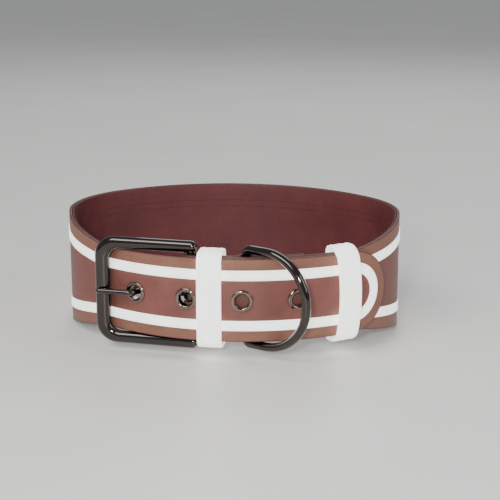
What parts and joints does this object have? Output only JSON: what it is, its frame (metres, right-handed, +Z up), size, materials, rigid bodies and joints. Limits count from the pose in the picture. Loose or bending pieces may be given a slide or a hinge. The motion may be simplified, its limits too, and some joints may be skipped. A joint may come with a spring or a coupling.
{
  "type": "pin-buckle dog collar",
  "caption": "Reflective two-ply dog collar with a tapered strap, heel-bar pin buckle, leash D-ring, eyelets and two keepers, buckled into an oval ring.",
  "frame": {"origin": "centre of the collar's box at the level it stands on", "axes": "+Z up, +X to the right of somebody who looks at the buckle, -Y out of the buckle's face; the collar stands on its lower edge"},
  "size_m": [0.16, 0.1317, 0.056],
  "materials": {
    "strap_leather": "smooth coated leather, waxed, fine grain",
    "lining_leather": "soft matt lining leather",
    "reflective_tape": "white retroreflective bead tape, sewn on",
    "dark_nickel": "polished black nickel plating",
    "eyelet_metal": "polished dark nickel plating, slightly warm"
  },
  "bodies": {
    "collar": {"strap_outer": "strap_leather", "strap_lining": "lining_leather", "tape_upper": "reflective_tape", "tape_lower": "reflective_tape", "tape_tip": "reflective_tape", "keeper_front": "reflective_tape", "eyelet_1": "eyelet_metal", "eyelet_washer_1": "eyelet_metal", "eyelet_2": "eyelet_metal", "eyelet_washer_2": "eyelet_metal", "eyelet_3": "eyelet_metal", "eyelet_washer_3": "eyelet_metal", "eyelet_4": "eyelet_metal", "eyelet_washer_4": "eyelet_metal", "eyelet_5": "eyelet_metal", "eyelet_washer_5": "eyelet_metal", "rivet_post_1": "eyelet_metal", "rivet_cap_1": "eyelet_metal", "rivet_post_2": "eyelet_metal", "rivet_cap_2": "eyelet_metal", "rivet_post_3": "eyelet_metal", "rivet_cap_3": "eyelet_metal", "rivet_post_4": "eyelet_metal", "rivet_cap_4": "eyelet_metal"},
    "buckle": {"buckle_frame": "dark_nickel"},
    "prong": {"buckle_prong": "dark_nickel"},
    "leash_ring": {"d_ring": "dark_nickel"},
    "loose_keeper": {"keeper_rear": "reflective_tape"}
  },
  "joints": [
    {"name": "buckle_hinge", "type": "hinge", "parent": "collar", "child": "buckle", "pos_m": [-0.01039, -0.05095, 0.028], "axis": [0, 0, 1], "range_deg": [0, 1.5]},
    {"name": "prong_hinge", "type": "hinge", "parent": "buckle", "child": "prong", "pos_m": [-0.01039, -0.05095, 0.028], "axis": [0, 0, 1], "range_deg": [0, 1.5]},
    {"name": "ring_hinge", "type": "hinge", "parent": "collar", "child": "leash_ring", "pos_m": [0.01413, -0.04963, 0.028], "axis": [0, 0, -1], "range_deg": [0, 85]},
    {"name": "keeper_slide", "type": "hinge", "parent": "collar", "child": "loose_keeper", "pos_m": [0.00128, 0.03604, 0.028], "axis": [0, 0, 1], "range_deg": [-6, 0]}
  ]
}
